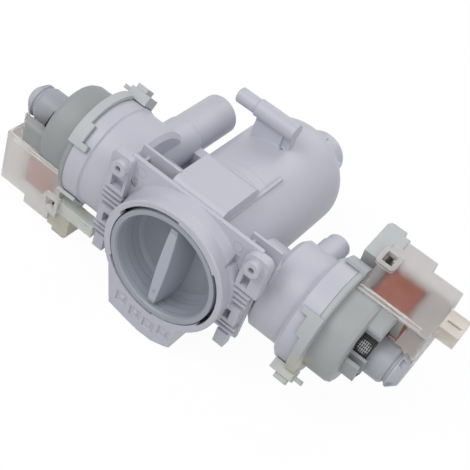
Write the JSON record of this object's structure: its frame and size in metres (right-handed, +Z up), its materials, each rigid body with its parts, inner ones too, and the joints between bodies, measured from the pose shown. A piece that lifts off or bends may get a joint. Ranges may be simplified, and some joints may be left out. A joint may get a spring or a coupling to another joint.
{
  "type": "washing machine circulation pump",
  "caption": "Moulded pump housing with a twist-out filter at the front, a small motor on each end of one pump axis, hose nozzles behind and a rear inlet.",
  "frame": {"origin": "on the filter axis, in the plane of the collar's front face", "axes": "+Y along the filter axis towards the rear inlet, +X along the pump axis towards the circulation motor, +Z up towards the screw bosses"},
  "size_m": [0.3201, 0.185, 0.1284],
  "materials": {
    "housing_white": "satin",
    "cap_grey": "satin",
    "seal_rubber": "matt",
    "strainer_grey": "matt",
    "cover_mint": "matt",
    "can_grey": "satin",
    "case_clear": "translucent",
    "copper_wire": "enamelled",
    "bobbin_white": "matt",
    "lamination_steel": "stacked sheet",
    "shaft_steel": "ground",
    "magnet_dark": "matt",
    "bearing_dark": "matt",
    "terminal_tin": "tinned",
    "impeller_grey": "matt"
  },
  "bodies": {
    "housing": {"pump_housing": "housing_white", "drain_motor_cover": "cover_mint", "drain_cover_seal": "seal_rubber", "drain_rotor_can": "can_grey", "drain_can_cap": "can_grey", "drain_core": "lamination_steel", "drain_bobbins": "bobbin_white", "drain_windings": "copper_wire", "drain_coil_housing": "case_clear", "drain_end_block": "cover_mint", "drain_terminal_carrier": "bobbin_white", "drain_terminals": "terminal_tin", "drain_front_bearing": "bearing_dark", "drain_rear_bearing": "bearing_dark", "circulation_motor_cover": "cover_mint", "circulation_cover_seal": "seal_rubber", "circulation_rotor_can": "can_grey", "circulation_can_cap": "can_grey", "circulation_core": "lamination_steel", "circulation_bobbins": "bobbin_white", "circulation_windings": "copper_wire", "circulation_coil_housing": "case_clear", "circulation_end_block": "cover_mint", "circulation_terminal_carrier": "bobbin_white", "circulation_terminals": "terminal_tin", "circulation_front_bearing": "bearing_dark", "circulation_rear_bearing": "bearing_dark"},
    "filter_ring": {"filter_seal": "seal_rubber"},
    "filter": {"filter_cap": "cap_grey", "filter_strainer": "strainer_grey"},
    "drain_rotor": {"drain_shaft": "shaft_steel", "drain_magnet": "magnet_dark", "drain_drive_dog": "impeller_grey"},
    "drain_impeller": {"drain_impeller": "impeller_grey"},
    "circulation_rotor": {"circulation_shaft": "shaft_steel", "circulation_magnet": "magnet_dark", "circulation_drive_dog": "impeller_grey"},
    "circulation_impeller": {"circulation_impeller": "impeller_grey"}
  },
  "joints": [
    {"name": "filter_lift", "type": "slide", "parent": "housing", "child": "filter_ring", "axis": [0, -1, 0], "range_m": [0, 0.003]},
    {"name": "filter_turn", "type": "hinge", "parent": "filter_ring", "child": "filter", "pos_m": [0, 0, 0], "axis": [0, -1, 0], "range_deg": [0, 60]},
    {"name": "drain_rotor_spin", "type": "hinge", "parent": "housing", "child": "drain_rotor", "pos_m": [0, 0.052, 0], "axis": [1, 0, 0], "continuous": true},
    {"name": "drain_impeller_play", "type": "hinge", "parent": "drain_rotor", "child": "drain_impeller", "pos_m": [0, 0.052, 0], "axis": [1, 0, 0], "range_deg": [-125, 125]},
    {"name": "circulation_rotor_spin", "type": "hinge", "parent": "housing", "child": "circulation_rotor", "pos_m": [0, 0.052, 0], "axis": [1, 0, 0], "continuous": true},
    {"name": "circulation_impeller_play", "type": "hinge", "parent": "circulation_rotor", "child": "circulation_impeller", "pos_m": [0, 0.052, 0], "axis": [1, 0, 0], "range_deg": [-125, 125]}
  ],
  "couplings": [
    {"joint": "filter_lift", "follows": "filter_turn", "m_per_rad": 0.002864}
  ]
}
